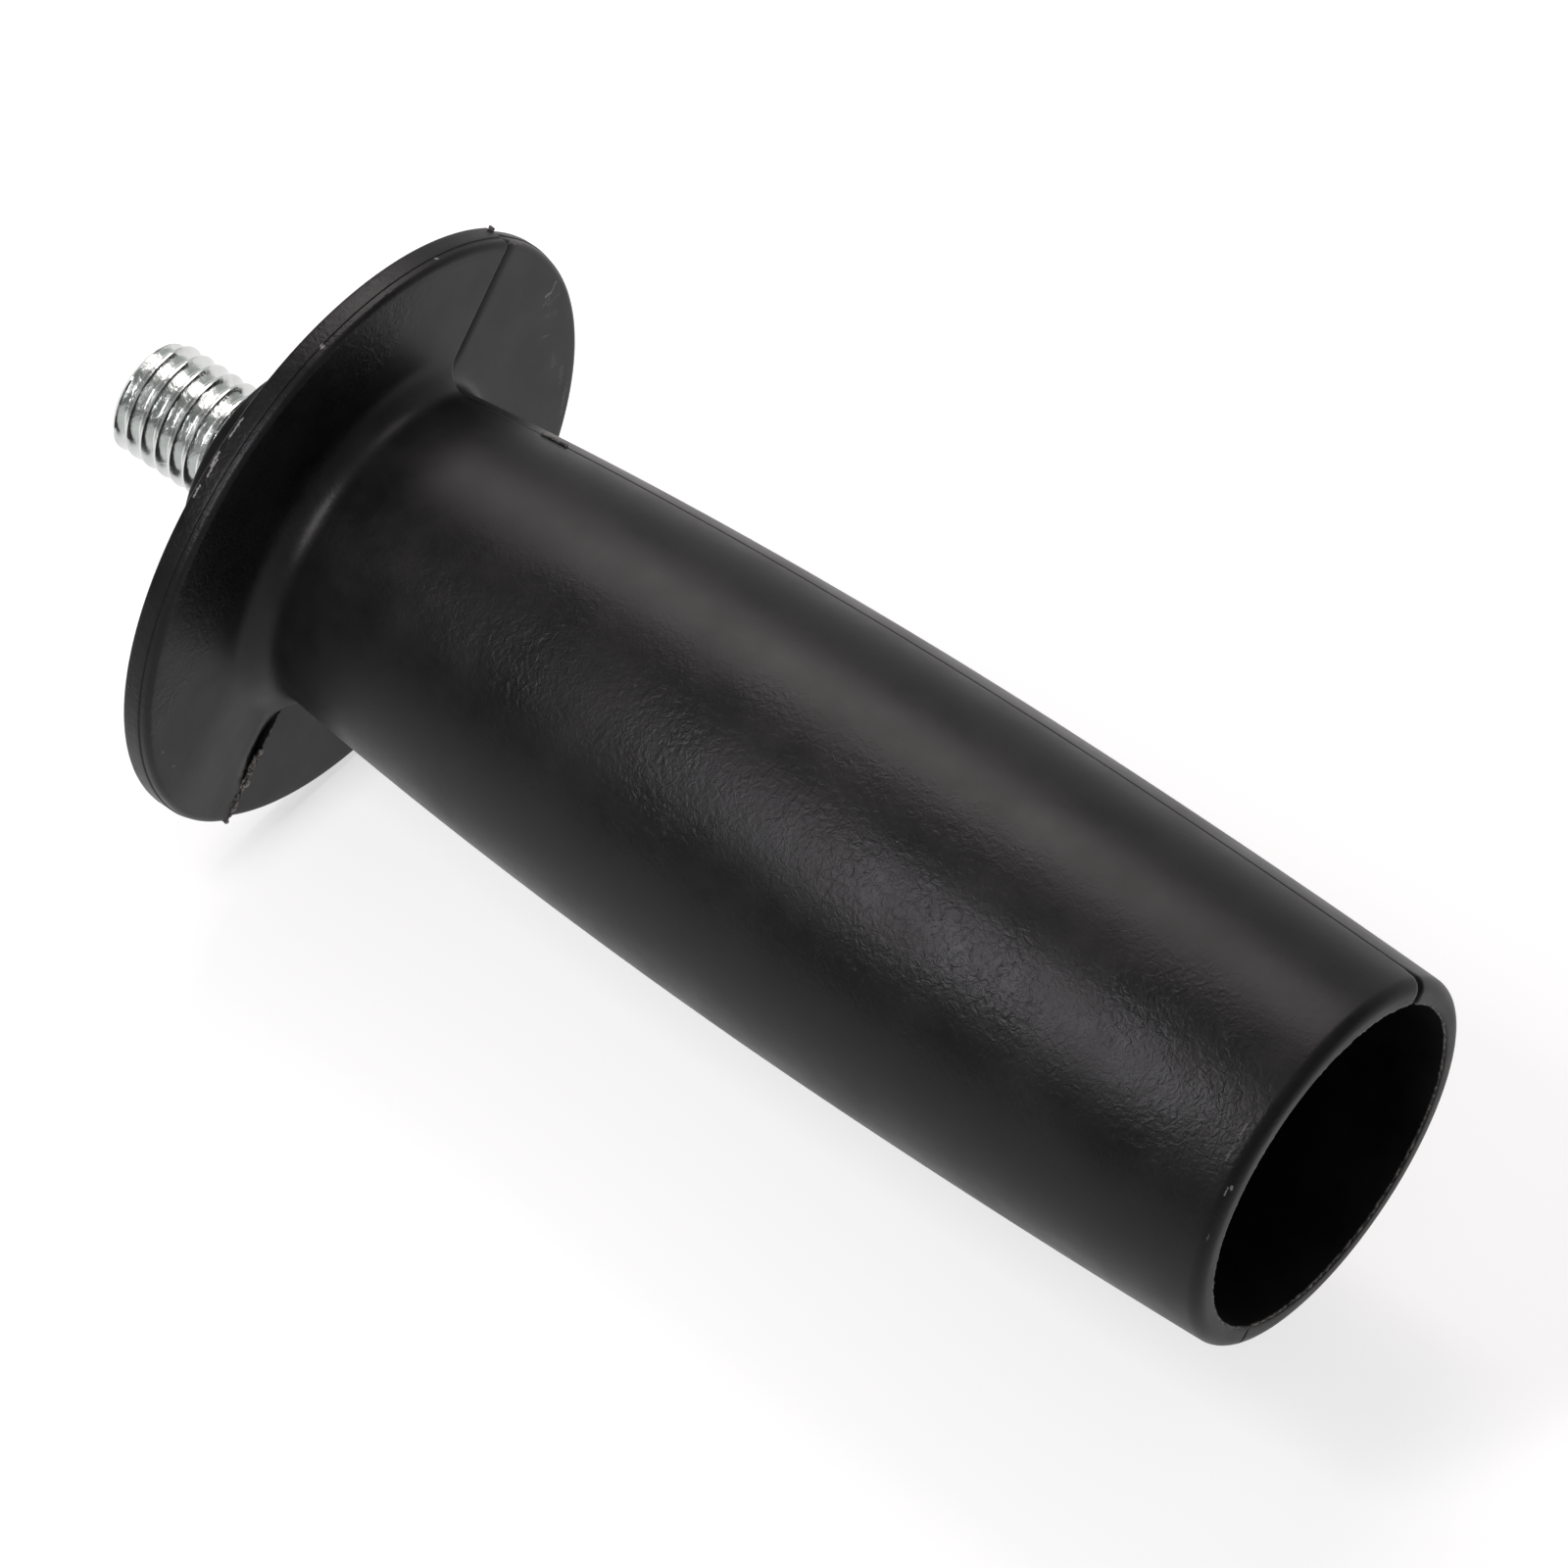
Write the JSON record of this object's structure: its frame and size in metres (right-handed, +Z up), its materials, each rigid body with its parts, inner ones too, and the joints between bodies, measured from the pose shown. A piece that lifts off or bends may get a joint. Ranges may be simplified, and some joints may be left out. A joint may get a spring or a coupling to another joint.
{
  "type": "side handle",
  "caption": "Hollow barrel-shaped side handle with a round hand guard flange and a projecting threaded stud, for screwing into the side of an angle grinder.",
  "frame": {"origin": "centre of the boss's end face, where it seats on the grinder and the stud leaves it", "axes": "+X along the handle from the stud towards the grip's open mouth, -X along the stud, +Z up; the mould's parting plane leans 41.5 degrees from +Z towards +Y"},
  "size_m": [0.1192, 0.0531, 0.0531],
  "materials": {
    "black_plastic": "moulded black plastic, satin, with a fine leathery grain",
    "zinc_steel": "bright zinc-plated rolled steel"
  },
  "bodies": {
    "root": {"moulded_grip": "black_plastic", "threaded_stud": "zinc_steel"}
  },
  "joints": []
}
